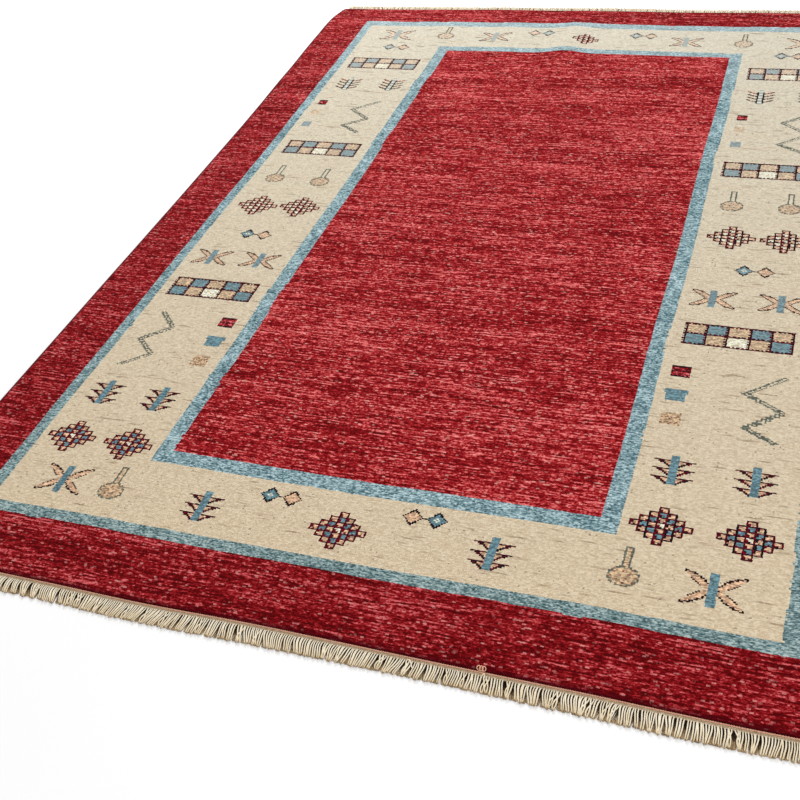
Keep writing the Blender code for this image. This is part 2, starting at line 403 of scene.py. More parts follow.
def divide(i, j, size):
    part = chart[i:i + size, j:j + size]
    at_rim = i == 0 or j == 0 or i + size == COLUMNS or j + size == ROWS
    if size > 1 and (at_rim or part.min() != part.max()):
        half = size // 2
        for a in (i, i + half):
            for b in (j, j + half):
                divide(a, b, half)
        return
    leaves.append((i, j, size))
    for a in (i, i + size):
        for b in (j, j + size):
            used[a, b] = True


for i in range(0, COLUMNS, BLOCK):
    for j in range(0, ROWS, BLOCK):
        divide(i, j, BLOCK)


def outline_of(i, j, size, taken):
    """The taken lattice points round a square of knots, counted anticlockwise."""
    ring = [(i + k, j) for k in range(size)]
    ring += [(i + size, j + k) for k in range(size)]
    ring += [(i + size - k, j + size) for k in range(size)]
    ring += [(i, j + size - k) for k in range(size)]
    return [spot for spot in ring if taken[spot]]


def straight(spots):
    a, b = np.array(spots, dtype=float).T
    return LEFT + RIM_ROUND + a * KNOT_WIDE, NEAR + RIM_ROUND + b * KNOT_LONG


points, woven, faces, yarns = [], [], [], []
top_spots = [tuple(spot) for spot in np.argwhere(used)]
index_of = {spot: n for n, spot in enumerate(top_spots)}
s, t = straight(top_spots)
x, y = lay(s, t)
shaken = np.random.default_rng(UNEVEN_SEED).normal(0.0, UNEVEN, (2, len(top_spots)))
inner = (np.array(top_spots) % [COLUMNS, ROWS]).all(axis=1)
x, y = x + shaken[0] * inner, y + shaken[1] * inner
points += list(zip(x, y, PILE_HIGH + ripple(x, y)))
woven += list(zip(s, t))
for i, j, size in leaves:
    faces.append([index_of[spot] for spot in outline_of(i, j, size, used)])
    yarns.append(int(chart[i, j]))

# the rim: rings from the top's border, round the pile's edge and down to the floor;
# the cloth's own length from the border to the wall's foot and to the floor is given
TO_FOOT = 0.0137
TO_FLOOR = 0.0162
border = [(i, 0) for i in range(COLUMNS)] + [(COLUMNS, j) for j in range(ROWS)]
border += [(i, ROWS) for i in range(COLUMNS, 0, -1)] + [(0, j) for j in range(ROWS, 0, -1)]
out_a = np.array([-1.0 if i == 0 else 1.0 if i == COLUMNS else 0.0 for i, _ in border])
out_b = np.array([-1.0 if j == 0 else 1.0 if j == ROWS else 0.0 for _, j in border])
s0, t0 = straight(border)
rings = [[index_of[spot] for spot in border]]
profile = []
for turn in (30.0, 60.0, 90.0):
    drop = RIM_ROUND * (1.0 - math.cos(math.radians(turn)))
    reach = RIM_ROUND * math.sin(math.radians(turn))
    profile.append((reach, PILE_HIGH - drop, RIM_ROUND * math.radians(turn)))
profile.append((RIM_ROUND, FOOT_ROUND, TO_FOOT))
profile.append((RIM_ROUND - FOOT_ROUND, 0.0, TO_FLOOR))
for reach, height, length in profile:
    x, y = lay(s0 + out_a * reach, t0 + out_b * reach)
    start = len(points)
    points += list(zip(x, y, height + ripple(x, y)))
    woven += list(zip(s0 + out_a * length, t0 + out_b * length))
    rings.append(list(range(start, start + len(border))))
for upper, lower in zip(rings, rings[1:]):
    for n in range(len(border)):
        m = (n + 1) % len(border)
        faces.append([lower[n], lower[m], upper[m], upper[n]])
        yarns.append(0)
rim_faces = len(faces)

# the underside: the flat back of the ground, in plain blocks
under = np.zeros_like(used)
under[::BLOCK, ::BLOCK] = True
under[0, :] = under[-1, :] = under[:, 0] = under[:, -1] = True
inner_spots = [tuple(spot) for spot in np.argwhere(under[1:-1, 1:-1]) + 1]
under_index = {spot: rings[-1][n] for n, spot in enumerate(border)}
for n, spot in enumerate(inner_spots):
    under_index[spot] = len(points) + n
s, t = straight(inner_spots)
x, y = lay(s, t)
points += list(zip(x, y, ripple(x, y)))
woven += list(zip(s, t))
for i in range(0, COLUMNS, BLOCK):
    for j in range(0, ROWS, BLOCK):
        ring = outline_of(i, j, BLOCK, under)
        faces.append([under_index[spot] for spot in ring[::-1]])
        yarns.append(0)

# the flat map holds the face, and below it the underside in a thin strip
MAP_MARGIN = 0.012
FACE_FOOT = 0.03
FACE_TALL = 0.96
BACK_FOOT = 0.003
BACK_TALL = 0.020

pile_mesh = bpy.data.meshes.new("pile_cloth")
pile_mesh.from_pydata([tuple(map(float, p)) for p in points], [], faces)
pile_mesh.shade_smooth()
woven = np.array(woven)
place = pile_mesh.attributes.new("weave", "FLOAT_VECTOR", "POINT")
place.data.foreach_set("vector", np.column_stack([woven, np.zeros(len(woven))]).ravel())
counts = np.array([len(face) for face in faces])
tied = pile_mesh.attributes.new("yarn", "FLOAT", "CORNER")
tied.data.foreach_set("value", np.repeat(np.array(yarns, dtype=float), counts))
flat_map = pile_mesh.uv_layers.new(name="OFBake")
corners = np.concatenate([np.array(face) for face in faces])
uv = (woven[corners] - [LEFT, NEAR]) / [RIGHT - LEFT, FAR - NEAR]
uv = MAP_MARGIN + (1.0 - 2.0 * MAP_MARGIN) * uv
uv[:, 1] = FACE_FOOT + FACE_TALL * uv[:, 1]
below = np.repeat(np.arange(len(faces)) >= rim_faces, counts)
uv[below, 1] = BACK_FOOT + BACK_TALL * uv[below, 1]
flat_map.data.foreach_set("uv", uv.ravel())


def add_node(tree, kind, settings, fed, out=0):
    """Adds a node and gives one of its outputs.  Its settings come first, a ramp's
    stops among them, and then the values or Terms of its sockets."""
    node = tree.nodes.new(kind)
    for key, value in settings.items():
        if key == "stops":
            elements = node.color_ramp.elements
            while len(elements) < len(value):
                elements.new(1.0)
            for element, (place, colour) in zip(elements, value):
                element.position = place
                element.color = (*colour, 1.0)
        elif key == "interpolation":
            node.color_ramp.interpolation = value
        else:
            setattr(node, key, value)
    for key, value in dict(fed).items():
        if isinstance(value, Term):
            tree.links.new(value.socket, node.inputs[key])
        else:
            node.inputs[key].default_value = value
    return Term(tree, node.outputs[out])


class Term:
    """An output of a node; Python's arithmetic on it adds the Math nodes for a sum."""

    def __init__(self, tree, socket):
        self.tree = tree
        self.socket = socket

    def beside(self, key):
        """Another output of the same node."""
        return Term(self.tree, self.socket.node.outputs[key])

    def math(self, operation, *values):
        return add_node(self.tree, "ShaderNodeMath", {"operation": operation}, enumerate(values))

    def __add__(self, other):
        return self.math("ADD", self, other)

    def __radd__(self, other):
        return self.math("ADD", other, self)

    def __sub__(self, other):
        return self.math("SUBTRACT", self, other)

    def __rsub__(self, other):
        return self.math("SUBTRACT", other, self)

    def __mul__(self, other):
        return self.math("MULTIPLY", self, other)

    def __rmul__(self, other):
        return self.math("MULTIPLY", other, self)

    def __truediv__(self, other):
        return self.math("DIVIDE", self, other)

    def __rtruediv__(self, other):
        return self.math("DIVIDE", other, self)

    def __gt__(self, other):
        return self.math("GREATER_THAN", self, other)

    def __lt__(self, other):
        return self.math("LESS_THAN", self, other)

    def __neg__(self):
        return self.math("MULTIPLY", self, -1.0)

    def floor(self):
        return self.math("FLOOR", self)

    def sin(self):
        return self.math("SINE", self)

    def most(self, other):
        return self.math("MAXIMUM", self, other)

    def clip(self):
        return self.math("MINIMUM", self.most(0.0), 1.0)


class Cloth:
    """A yarn material: its shader, and the nodes that its sums start from."""

    def __init__(self, name, roughness, sheen=0.0):
        self.material = bpy.data.materials.new(name)
        self.material.use_nodes = True
        self.tree = self.material.node_tree
        self.shader = self.tree.nodes["Principled BSDF"]
        self.shader.inputs["Roughness"].default_value = roughness
        self.shader.inputs["Specular IOR Level"].default_value = 0.05
        self.shader.inputs["Sheen Weight"].default_value = sheen
        self.shader.inputs["Sheen Roughness"].default_value = 0.5

    def node(self, kind, settings, fed, out=0):
        return add_node(self.tree, kind, settings, fed, out)

    def point(self, x, y, z=0.0):
        return self.node("ShaderNodeCombineXYZ", {}, {"X": x, "Y": y, "Z": z})

    def places(self, vector):
        split = self.node("ShaderNodeSeparateXYZ", {}, {"Vector": vector})
        return [split.beside(axis) for axis in "XYZ"]

    def object_point(self):
        return self.node("ShaderNodeTexCoord", {}, {}, "Object")

    def attribute(self, name, out="Vector"):
        return self.node("ShaderNodeAttribute", {"attribute_name": name}, {}, out)

    def noise(self, vector, scale=1.0, detail=0.0, roughness=0.5):
        fed = {"Vector": vector, "Scale": scale, "Detail": detail, "Roughness": roughness}
        return self.node("ShaderNodeTexNoise", {}, fed, "Fac")

    def speckle(self, vector):
        settings = {"noise_dimensions": "2D"}
        return self.node("ShaderNodeTexWhiteNoise", settings, {"Vector": vector}, "Value")

    def tones(self, place, stops, stepped=False):
        """Reads a colour from (place, (red, green, blue)) stops."""
        settings = {"stops": stops, "interpolation": "CONSTANT" if stepped else "LINEAR"}
        return self.node("ShaderNodeValToRGB", settings, {"Fac": place}, "Color")

    def mix(self, share, first, second, blend="MIX"):
        pair = [c if isinstance(c, Term) else (*c, 1.0) for c in (first, second)]
        settings = {"data_type": "RGBA", "blend_type": blend}
        return self.node("ShaderNodeMix", settings, {0: share, 6: pair[0], 7: pair[1]}, 2)

    def finish(self, colour, height, distance, strength=1.0):
        """Joins the colour and the relief to the shader."""
        self.tree.links.new(colour.socket, self.shader.inputs["Base Color"])
        fed = {"Height": height, "Distance": distance, "Strength": strength}
        bump = self.node("ShaderNodeBump", {}, fed)
        self.tree.links.new(bump.socket, self.shader.inputs["Normal"])
        return self.material


# its wool was dyed in small lots: each knot differs a little, and the reds run in
# short light and dark dashes along the rows; the partings and furrows between rows
# are painted shade.  Each noise is stretched by the length of its marks in metres,
# and runs from 0 to 1, so that 0.5 is its even tone.
TURN = 2.0 * math.pi
# knots are counted from beyond the rim, so that no count falls below zero
COUNT_FROM = 20.0
cloth = Cloth("pile_wool", roughness=0.95)
s, t, _ = cloth.places(cloth.attribute("weave"))
ragged = (cloth.noise(cloth.point(s / 0.0030, t / 0.0030, 2.0)) - 0.5) * 0.0022
column = ((s - LEFT + ragged) / KNOT_WIDE + COUNT_FROM).floor()
row = ((t - NEAR + ragged) / KNOT_LONG + COUNT_FROM).floor()
grain = cloth.speckle(cloth.point(column, row))
dash = cloth.noise(cloth.point(s / 0.0180, row * 5.17, 0.0), detail=3.0)
streak = cloth.noise(cloth.point(s / 0.110, row * 2.37, 3.0), detail=2.0)
# painted shadow: dark lines where the pile parts between rows
parting_shadow = cloth.noise(cloth.point(s / 0.110, row * 1.73, 13.0), detail=1.0)
parting_shadow = ((parting_shadow - 0.58) * 7.0).clip()
strand = cloth.noise(cloth.point(s / 0.130, row * 1.31, 23.0), detail=2.0)
strand = ((strand - 0.56) * 7.0).clip()
patch = cloth.noise(cloth.point(s / 0.180, t / 0.020, 11.0), detail=3.0)
band = cloth.noise(cloth.point(s / 0.80, t / 0.075, 7.0), detail=1.0)
drift = cloth.noise(cloth.point(s / 0.220, t / 0.060, 17.0), detail=1.0)
# painted shade: light and dark stripes across the rows, as the pile's ridges and furrows catch
# the light
furrow_shade = ((t / 0.0078 + drift * 3.0) * TURN).sin()
fluff = cloth.noise(cloth.point(s / 0.0150, t / 0.0029, 21.0), detail=2.0, roughness=0.9)
fleck = (dash - 0.5) * 1.6 + (grain - 0.5) * 0.55 + (streak - 0.5) * 1.9 + 0.465
fleck = fleck + (patch - 0.5) * 0.36 + (band - 0.5) * 0.6 - parting_shadow * 0.32
fleck = fleck + strand * 0.28 + (fluff - 0.5) * 2.7 + furrow_shade * (streak + 0.1) * 0.18
RED_TONES = [
    (0.00, (0.105, 0.001, 0.002)), (0.28, (0.220, 0.002, 0.005)), (0.55, (0.355, 0.011, 0.015)),
    (0.78, (0.520, 0.038, 0.042)), (1.00, (0.860, 0.200, 0.195)),
]
# painted sheen: the colours are painted paler towards the far end, where the pile is
# seen at a grazing angle; 0 at the near end and 1 at the far one
far_sheen = (t + 1.2) / 2.4
OUTER_DARKER = 0.06
OUTER_TINT = (0.80, 0.68, 0.74)
BLUE_TONES = [
    (0.00, (0.050, 0.105, 0.125)), (0.45, (0.200, 0.325, 0.355)), (1.00, (0.560, 0.710, 0.740)),
]
# the colour that the painted shade at the near end multiplies the outer blue by
OUTER_BLUE_SHADE = (0.84, 0.80, 0.74)
mottle = cloth.noise(cloth.point(s / 0.006, row * 3.31, 5.0), detail=1.0)
cloudy = cloth.noise(cloth.point(s / 0.040, t / 0.040, 15.0), detail=1.0) - 0.5
blue = (mottle - 0.5) * 0.8 + (grain - 0.5) * 0.6 + cloudy * 0.7 + 0.47
blue = blue + (fluff - 0.5) * 3.2
blue = cloth.tones(blue.clip(), BLUE_TONES)
# painted sheen: the blue is painted paler towards the far end
blue = cloth.mix((far_sheen - 0.75).clip() * 1.4, blue, (0.60, 0.68, 0.69))
# painted sheen: the cream is painted paler and greyer towards the far end
cream = cloth.mix(far_sheen.clip(), (0.715, 0.565, 0.372), (0.648, 0.638, 0.540))
lighter = ((fluff - 0.5) * 5.0 + (grain - 0.5) * 1.0 + (mottle - 0.5) * 0.8 + 0.5).clip()
cream = cloth.mix(lighter * 0.46, cream, (0.86, 0.76, 0.58))
cream = cloth.mix((1.0 - lighter) * 0.26, cream, (0.30, 0.19, 0.11))
thread = cloth.noise(cloth.point(s / 0.060, row * 2.93, 9.0), detail=1.0)
cream = cloth.mix(((thread - 0.63) * 9.0).clip() * 0.65, cream, (0.22, 0.13, 0.07))
warm = cloth.noise(cloth.point(s / 0.09, t / 0.03, 1.0), detail=1.0)
cream = cloth.mix(((warm - 0.5) * 2.5).clip() * 0.35, cream, (0.64, 0.48, 0.34))
cream = cloth.mix((grain > 0.985) * (mottle > 0.5) * 0.6, cream, (0.12, 0.06, 0.04))

# the plain bands: each edge keeps to whole knots and strays as it was woven
sway_s = (cloth.noise(cloth.point(t / 0.014, 1.0, 2.0), detail=1.0) - 0.5) * 0.0024
sway_s = sway_s + (cloth.noise(cloth.point(t / 0.150, 1.0, 8.0), detail=1.0) - 0.5) * 0.0060
sway_t = (cloth.noise(cloth.point(s / 0.090, 4.0, 6.0), detail=1.0) - 0.5) * 0.0045
knot_s = (column + 0.5 - COUNT_FROM) * KNOT_WIDE + LEFT + sway_s
knot_t = (row + 0.5 - COUNT_FROM) * KNOT_LONG + NEAR + sway_t


def within(west, east, south, north):
    """1 inside the rectangle and 0 outside it."""
    out = (-knot_s + west).most(knot_s - east).most((-knot_t + south).most(knot_t - north))
    return out < 0.0


# each band ends where the next one in begins, in metres from the rug's middle
field = within(-0.405, 0.405, -0.860, 0.896)
inner_blue = within(-0.437, 0.436, -0.892, 0.922)
border_cream = within(-0.693, 0.711, -1.046, 1.064)
outer_blue = within(-0.719, 0.737, -1.071, 1.096)
red = cloth.tones((fleck - (1.0 - field) * OUTER_DARKER).clip(), RED_TONES)
stitch = cloth.speckle(cloth.point((s / 0.0058 + row * 0.37).floor(), row))
spark = (stitch > 0.94) * ((dash - 0.42) * 6.0).clip()
red = cloth.mix(spark * 0.62, red, (0.94, 0.44, 0.38))
# the outer bands' red is darker than the field's; this darkening is painted weaker towards the
# far end, as part of the painted sheen there
tinted = (1.0 - field) * (far_sheen * -0.55 + 1.0).clip()
red = cloth.mix(tinted, red, OUTER_TINT, blend="MULTIPLY")
# painted shade: the outer blue is painted darker towards the near end
outer_blue_near_shade = (far_sheen * -2.0 + 1.0).clip()
outer_blue_shaded = cloth.mix(outer_blue_near_shade, blue, OUTER_BLUE_SHADE, blend="MULTIPLY")
wool = cloth.mix(outer_blue, red, outer_blue_shaded)
wool = cloth.mix(border_cream, wool, cream)
wool = cloth.mix(inner_blue, wool, blue)
wool = cloth.mix(field, wool, red)

# the yarns of the motifs; the red one is the field's own wool
YARN_COLOURS = {
    DARK: (0.006, 0.002, 0.004), BLUE: (0.120, 0.222, 0.256), SALMON: (0.610, 0.388, 0.245),
    TAN: (0.515, 0.362, 0.222), WHITE: (0.880, 0.770, 0.540), SAGE: (0.122, 0.138, 0.108),
    WINE: (0.120, 0.001, 0.008), BROWN: (0.210, 0.085, 0.050),
}
yarn_stops = [((number - 0.5) / 10.0, colour) for number, colour in YARN_COLOURS.items()]
yarn = cloth.attribute("yarn", "Fac")
motif = cloth.tones(yarn / 10.0, yarn_stops, stepped=True)
field_red = cloth.mix(1.0, red, (0.84, 1.00, 1.00), blend="MULTIPLY")
motif = cloth.mix((yarn > RED - 0.5) * (yarn < RED + 0.5), motif, field_red)
motif = cloth.mix(lighter, motif, (0.40, 0.40, 0.40), blend="DODGE")
motif = cloth.mix((1.0 - lighter) * 0.42, motif, (0.03, 0.015, 0.02))
# painted sheen: the pale motif yarns are painted paler towards the far end
motif_far_sheen = ((far_sheen - 0.25) * 0.62).clip() * (yarn > BLUE - 0.5) * (yarn < WHITE + 0.5)
motif = cloth.mix(motif_far_sheen, motif, (0.74, 0.69, 0.59))
wool = cloth.mix(yarn > 0.5, wool, motif)

# painted shade: the rim's wool is painted darker, as the sides of its tufts are in shade
RIM_SHADE_WIDE = 0.0085
over_side = (-s + (LEFT + RIM_ROUND)).most(s - (RIGHT - RIM_ROUND))
over_end = (-t + (NEAR + RIM_ROUND)).most(t - (FAR - RIM_ROUND))
rim_shade_share = (over_side.most(over_end) / RIM_SHADE_WIDE).clip()
wool = cloth.mix(rim_shade_share * 0.80, wool, (0.075, 0.002, 0.006))

tuft_s = (s * (TURN / KNOT_WIDE)).sin() * 0.25
tuft_t = (t * (TURN / KNOT_LONG)).sin() * 0.35
fibre = cloth.noise(cloth.point(s / 0.0022, t / 0.0014, 0.0), detail=2.0)
relief = dash * 0.9 + grain * 0.6 + fibre * 0.9 + tuft_s + tuft_t + streak * 0.8
pile_wool = cloth.finish(wool, relief, distance=0.0011, strength=0.75)


def piece_from(name, mesh, material, node):
    """Makes a finished mesh a piece of the rug, in place of the plain solid that
    node names, if any."""
    piece = bpy.data.objects.new(name, mesh)
    bpy.context.scene.collection.objects.link(piece)
    mesh.materials.clear()
    mesh.materials.append(material)
    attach(piece, "root")
    if node:
        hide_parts(node)
    return piece


pile = piece_from("pile_cloth", pile_mesh, pile_wool, "pile_carpet")


# The side cords: the outer warps of each long side wrapped round and round with
# dark red wool, which shows as close slanting turns.
CORD_GAP = 0.00035
CORD_WIDE = 0.0068
CORD_HIGH = 0.0070
TURN_PITCH = 0.0026
TURN_SLANT = 0.0011
BETWEEN_TURNS = 0.80
CORD_SIDES = 8

cloth = Cloth("selvedge_wool", roughness=0.85, sheen=0.2)
x, y, _ = cloth.places(cloth.object_point())
strand = cloth.noise(cloth.point(x / 0.004, y / 0.0016, 0.0), detail=1.0)
tone = cloth.noise(cloth.point(0.0, y / 0.05, 4.0), detail=1.0)
# its wool is a dark red, painted darker still to carry the shade beside the pile's edge
wrap_red = cloth.tones(
    (strand * 0.6 + tone * 0.4).clip(),
    [(0.25, (0.035, 0.002, 0.004)), (0.55, (0.12, 0.006, 0.012)), (0.85, (0.26, 0.03, 0.035))],
)
selvedge_wool = cloth.finish(wrap_red, strand, distance=0.0006)


def loft(name, strands):
    """A smooth mesh of strands, each a list of rings of points, closed at its ends."""
    bm = bmesh.new()
    for strand in strands:
        rings = [[bm.verts.new(spot) for spot in ring] for ring in strand]
        for ring, following in zip(rings, rings[1:]):
            for k in range(len(ring)):
                m = (k + 1) % len(ring)
                bm.faces.new((ring[k], ring[m], following[m], following[k]))
        bm.faces.new(rings[0])
        bm.faces.new(rings[-1])
    bmesh.ops.recalc_face_normals(bm, faces=bm.faces)
    mesh = bpy.data.meshes.new(name)
    bm.to_mesh(mesh)
    bm.free()
    mesh.shade_smooth()
    return mesh


def make_selvedge(node, edge, outward):
    low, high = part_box(node)
    turns = int((high[1] - low[1]) / TURN_PITCH)
    rings = []
    for n in range(2 * turns + 1):
        share = n / (2.0 * turns)
        girth = 1.0 if n % 2 else BETWEEN_TURNS
        ring = []
        for k in range(CORD_SIDES):
            angle = TURN * (k + 0.5) / CORD_SIDES
            slant = TURN_SLANT * math.cos(angle)
            along = low[1] + (high[1] - low[1]) * share
            spot = min(max(along + slant, low[1]), high[1])
            middle = edge(along) + outward * (CORD_GAP + 0.5 * CORD_WIDE)
            across = 0.5 * CORD_WIDE * girth * math.cos(angle)
            lift = girth * math.sin(angle) / math.cos(0.5 * TURN / CORD_SIDES)
            height = 0.5 * CORD_HIGH * (1.0 + lift)
            ring.append((float(middle) + across, spot, max(height, 0.0)))
        rings.append(ring)
    name = "wrapped_" + node
    return piece_from(name, loft(name, [rings]), selvedge_wool, node)


selvedges = [
    make_selvedge("selvedge_left", left_edge, -1.0),
    make_selvedge("selvedge_right", right_edge, 1.0),
]


# The end bands: a narrow flat plain weave of cream cotton beyond the pile, that
# holds the last rows of knots, with a rib for each pair of warps.
BAND_DEEP = 0.0075
BAND_HIGH = 0.0026
BAND_INSET = 0.0006
END_CLEAR = 0.004
WARP_PITCH = 0.0036
WEFT_PITCH = 0.0016
RIB_DEEP = 0.0004
# the band cut across: (distance from the pile, height), None for the ribbed top
BAND_SECTION = [
    (0.0, 0.0), (BAND_DEEP, 0.0), (BAND_DEEP, 0.0012), (0.0066, 0.0022),
    (0.0040, None), (0.0012, None), (0.0, 0.0016),
]

cloth = Cloth("band_cotton", roughness=0.9)
x, y, _ = cloth.places(cloth.object_point())
rib = (x * (TURN / WARP_PITCH)).sin()
weft = (y * (TURN / WEFT_PITCH)).sin()
yarn_tone = cloth.noise(cloth.point(x / 0.006, y / 0.002, 0.0), detail=2.0)
# the ribs' crowns are painted a little lighter and the grooves between them darker: painted shade
band_cream = cloth.tones(
    ((yarn_tone - 0.5) * 1.6 + rib * 0.12 + 0.5).clip(),
    [(0.0, (0.26, 0.17, 0.10)), (0.5, (0.52, 0.39, 0.25)), (1.0, (0.72, 0.62, 0.45))],
)
band_cotton = cloth.finish(band_cream, rib * 0.5 + weft * 0.3 + yarn_tone, distance=0.0006)


def make_band(name, edge, outward):
    low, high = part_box(name)
    west = max(low[0] + BAND_INSET, LEFT + END_CLEAR)
    east = min(high[0] - BAND_INSET, RIGHT - END_CLEAR)
    count = int((east - west) / (0.5 * WARP_PITCH))
    rings = []
    for n in range(count + 1):
        place = west + (east - west) * n / count
        start = float(edge(place)) + outward * CORD_GAP
        crown = BAND_HIGH - (RIB_DEEP if n % 2 else 0.0)
        rings.append([
            (place, start + outward * deep, crown if height is None else height)
            for deep, height in BAND_SECTION
        ])
    name = "band_" + name
    return piece_from(name, loft(name, [rings]), band_cotton, None)


bands = [make_band("fringe_near", near_edge, -1.0), make_band("fringe_far", far_edge, 1.0)]


# The twined line: two salmon yarns twisted round each other along the end of the
# pile, which lock the last row of knots.
TWINE_PITCH = 0.0072
TWINE_ROUND = 0.00075
TWINE_APART = 0.00060
TWINE_OUT = 0.0020
TWINE_SIDES = 5
STEPS_A_TURN = 6

cloth = Cloth("twined_yarn", roughness=0.9, sheen=0.2)
x, y, _ = cloth.places(cloth.object_point())
fibre = cloth.noise(cloth.point(x / 0.003, y / 0.001, 0.0), detail=2.0)
twine_colour = cloth.tones(
    fibre, [(0.3, (0.62, 0.27, 0.17)), (0.55, (0.84, 0.46, 0.31)), (0.8, (0.92, 0.64, 0.48))]
)
twined_yarn = cloth.finish(twine_colour, fibre, distance=0.0004)


def make_twine(name, edge, outward):
    low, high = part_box(name)
    west, east = max(low[0], LEFT + END_CLEAR), min(high[0], RIGHT - END_CLEAR)
    steps = int((east - west) / TWINE_PITCH * STEPS_A_TURN)
    strands = []
    for phase in (0.0, math.pi):
        rings = []
        for n in range(steps + 1):
            place = west + (east - west) * n / steps
            turn = TURN * n / STEPS_A_TURN + phase
            middle = float(edge(place)) + outward * TWINE_OUT
            ring = []
            for k in range(TWINE_SIDES):
                angle = TURN * k / TWINE_SIDES
                y = middle + TWINE_APART * math.cos(turn) + TWINE_ROUND * math.cos(angle)
                z = BAND_HIGH + TWINE_ROUND * (1.0 + math.sin(angle))
                z += TWINE_APART * math.sin(turn)
                ring.append((place, y, z))
            rings.append(ring)
        strands.append(rings)
    name = "twine_" + name
    return piece_from(name, loft(name, strands), twined_yarn, None)


twines = [make_twine("fringe_near", near_edge, -1.0), make_twine("fringe_far", far_edge, 1.0)]


# The fringes: the warps run on past the band.  Each pair has sprung back into a
# hairpin loop, above a flat layer of warps that lie in its shade, painted dark as
# painted shade; the loops' tips are painted darker too.  A few loops and warps are
# modelled, and Geometry Nodes sets one on each point with its own lean.
LOOP_PITCH = 0.0071
LOOP_LONG = 0.0315
LOOP_FOOT = 0.0013
LOOP_RISE = 0.0021
PLY_ROUND = 0.00110
LEGS_APART = 0.0021
LEGS_CROSS = 0.0009
SWEEP_FIRST = -0.0062
SWEEP_STEP = 0.0022
LOOP_SHARES = [0.0, 0.14, 0.32, 0.52, 0.72, 0.90, 1.0]
LOOP_KINDS = 6
LOOP_SEED = 40
CROSSED_SHARE = 0.12
# the flat layer: its length is a share of the loops', its height and lean too
UNDER_PITCH = 0.0026
UNDER_LONG = 0.94
UNDER_ROUND = 0.0018
UNDER_AXIS = 0.0010
UNDER_HIGH = 0.62
UNDER_FREE = 0.4
UNDER_KINDS = 2
# how both are set along the band, and how unevenly
SIDE_CLEAR = 0.006
LOOP_TUCKED = 0.0008
LOOP_LOWEST = 0.0002
OFF_PITCH = 0.22
LEAN_SPREAD = 0.10
WIDTH_SPREAD = 0.15

cloth = Cloth("warp_cotton", roughness=0.85)
x, y, z = cloth.places(cloth.object_point())
ply = cloth.noise(cloth.point(x / 0.0014, y / 0.0040, z / 0.0014), detail=2.0)
tuft = cloth.noise(cloth.point(x / 0.030, y / 0.030, 1.0), detail=1.0)
# the shade attribute paints the warps darker: painted shade under the loops and at their tips
shade = cloth.attribute("shade", "Fac")
fringe_tone = cloth.tones(
    ((ply - 0.5) * 0.6 + (tuft - 0.5) * 0.3 + (1.0 - shade)).clip(),
    [(0.0, (0.010, 0.006, 0.004)), (0.22, (0.060, 0.038, 0.020)), (0.50, (0.44, 0.31, 0.17)),
     (0.75, (0.80, 0.66, 0.45)), (1.0, (0.97, 0.88, 0.70))],
)
warp_cotton = cloth.finish(fringe_tone, ply, distance=0.0005)


def yarn_along(name, path, thick, shades):
    """A round yarn along a path, closed at its ends, with a shade for each point."""
    curve = bpy.data.curves.new(name, "CURVE")
    curve.dimensions = "3D"
    curve.bevel_depth = thick
    curve.bevel_resolution = 1
    curve.use_fill_caps = True
    spline = curve.splines.new("POLY")
    spline.points.add(len(path) - 1)
    for spot, at in zip(spline.points, path):
        spot.co = (*at, 1.0)
    spline.use_smooth = True
    maker = bpy.data.objects.new(name, curve)
    bpy.context.scene.collection.objects.link(maker)
    bpy.context.view_layer.update()
    seen = maker.evaluated_get(bpy.context.evaluated_depsgraph_get())
    mesh = bpy.data.meshes.new_from_object(seen)
    bpy.data.objects.remove(maker)
    spots = np.array(path)
    at = np.array([v.co for v in mesh.vertices])
    nearest = [int(np.argmin(((spots - spot) ** 2).sum(axis=1))) for spot in at]
    mesh.attributes.new("shade", "FLOAT", "POINT").data.foreach_set(
        "value", np.array(shades, dtype=float)[nearest]
    )
    return mesh


def make_loop(variant):
    """A hairpin along +Y: two legs that sweep to one side and meet in a round tip."""
    rng = random.Random(LOOP_SEED + variant)
    crossed = variant == LOOP_KINDS - 1
    sweep = 0.0 if crossed else SWEEP_FIRST + SWEEP_STEP * variant
    wave = rng.uniform(0.0003, 0.0008)
    path, shades = [], []
    for share in LOOP_SHARES:
        middle = sweep * share ** 2 + wave * math.sin(TURN * (share + 0.1 * variant))
        gap = LEGS_APART * (math.cos(1.5 * math.pi * share) if crossed else 1.0 - 0.25 * share)
        gap *= min(1.0, 4.0 * math.sqrt(1.0 - share))
        rise = LOOP_FOOT + LOOP_RISE * math.sin(math.pi * min(1.0, 0.10 + 0.80 * share))
        over = LEGS_CROSS * math.sin(TURN * share) if crossed else 0.0
        leg = Vector((middle + gap, LOOP_LONG * share, rise + over))
        back = Vector((middle - gap, LOOP_LONG * share, rise - over))
        # painted shade: darker towards the tip, and darker still at it
        shades.append(0.02 + 0.26 * share ** 1.5 + (0.35 if share > 0.9 else 0.0))
        path.append((leg, back))
    whole = [leg for leg, _ in path] + [back for _, back in path[-2::-1]]
    return yarn_along(f"loop_{variant}", whole, PLY_ROUND, shades + shades[-2::-1])


def make_under(variant):
    """A flat warp of the lower layer, painted darkest where it leaves the band, as painted shade
    under the loops.
    """
    sweep = -0.0020 + 0.0040 * variant
    shares = [0.0, 0.2, 0.4, 0.6, 0.8, 1.0]
    reach = UNDER_LONG * LOOP_LONG
    path = [Vector((sweep * share ** 2, reach * share, UNDER_AXIS)) for share in shares]
    shades = [1.0, 1.0, 0.92, 0.72, 0.60, 0.58]
    return yarn_along(f"loop_{LOOP_KINDS + variant}", path, UNDER_ROUND, shades)


box_of_loops = bpy.data.collections.new("loops")
loop_meshes = [make_loop(n) for n in range(LOOP_KINDS)]
loop_meshes += [make_under(n) for n in range(UNDER_KINDS)]
for mesh in loop_meshes:
    box_of_loops.objects.link(bpy.data.objects.new(mesh.name, mesh))


